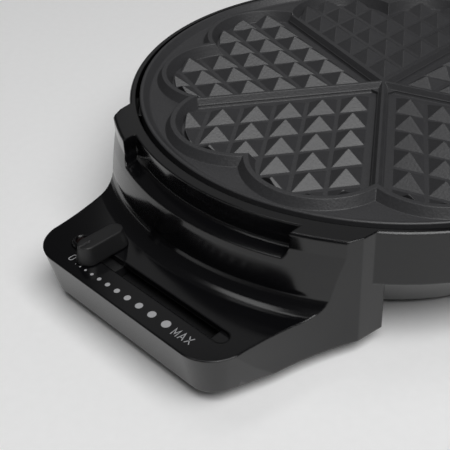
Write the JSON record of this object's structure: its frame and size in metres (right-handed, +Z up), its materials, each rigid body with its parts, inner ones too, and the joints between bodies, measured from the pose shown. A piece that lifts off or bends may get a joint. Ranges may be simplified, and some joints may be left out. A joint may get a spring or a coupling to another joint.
{
  "type": "heart waffle maker",
  "caption": "Round heart-pattern waffle maker with a hinged lid, a coated plate of pyramids and a front panel with a sliding temperature knob.",
  "frame": {"origin": "on the table under the centre of the round plates", "axes": "+Z up, -Y towards the user and the control panel, +X to the user's right"},
  "size_m": [0.219, 0.34, 0.2985],
  "materials": {
    "gloss_shell": "gloss",
    "cover": "matte",
    "coated_plate": "satin",
    "element": "satin",
    "sheet_steel": "satin",
    "steel": "satin",
    "ceramic": "matte",
    "nylon": "satin",
    "rubber": "matte",
    "knob": "satin",
    "lamp_lens": "gloss",
    "neon_glass": "gloss"
  },
  "bodies": {
    "base": {"base_housing": "gloss_shell", "bottom_cover": "cover", "lower_plate": "coated_plate", "lower_heating_element": "element", "lower_heat_shield": "sheet_steel", "thermostat_body": "ceramic", "thermostat_bracket": "sheet_steel", "thermostat_screws": "steel", "thermal_fuse": "steel", "fuse_clip": "sheet_steel", "terminal_block": "ceramic", "lamp_bezel": "gloss_shell", "lamp_lens": "lamp_lens", "neon_lamp": "neon_glass", "slider_guide": "nylon", "guide_screws": "steel", "cord_gland": "rubber", "cord_clamp": "nylon", "foot_front_left": "rubber", "foot_front_right": "rubber", "foot_rear_left": "rubber", "foot_rear_right": "rubber", "cover_screws": "steel", "lower_plate_screws": "steel", "lower_shield_screw": "steel", "hinge_pin_left": "steel", "hinge_pin_right": "steel"},
    "slider": {"slider_knob": "knob", "slider_carriage": "nylon"},
    "thermostat_drive": {"thermostat_pinion": "nylon", "thermostat_spindle": "steel"},
    "lid": {"lid_cover": "gloss_shell", "lid_handle": "gloss_shell", "handle_screws": "steel", "upper_plate": "coated_plate", "upper_heating_element": "element", "upper_heat_shield": "sheet_steel", "upper_plate_screws": "steel", "upper_shield_screw": "steel"}
  },
  "joints": [
    {"name": "lid_hinge", "type": "hinge", "parent": "base", "child": "lid", "pos_m": [0, 0.119, 0.0545], "axis": [1, 0, 0], "range_deg": [0, 99.5]},
    {"name": "temperature_slide", "type": "slide", "parent": "base", "child": "slider", "axis": [1, 0, 0], "range_m": [0, 0.052]},
    {"name": "thermostat_turn", "type": "hinge", "parent": "base", "child": "thermostat_drive", "pos_m": [0, -0.088, 0], "axis": [0, 0, 1], "range_deg": [0, 300]}
  ],
  "couplings": [
    {"joint": "thermostat_turn", "follows": "temperature_slide", "rad_per_m": 88.889}
  ]
}
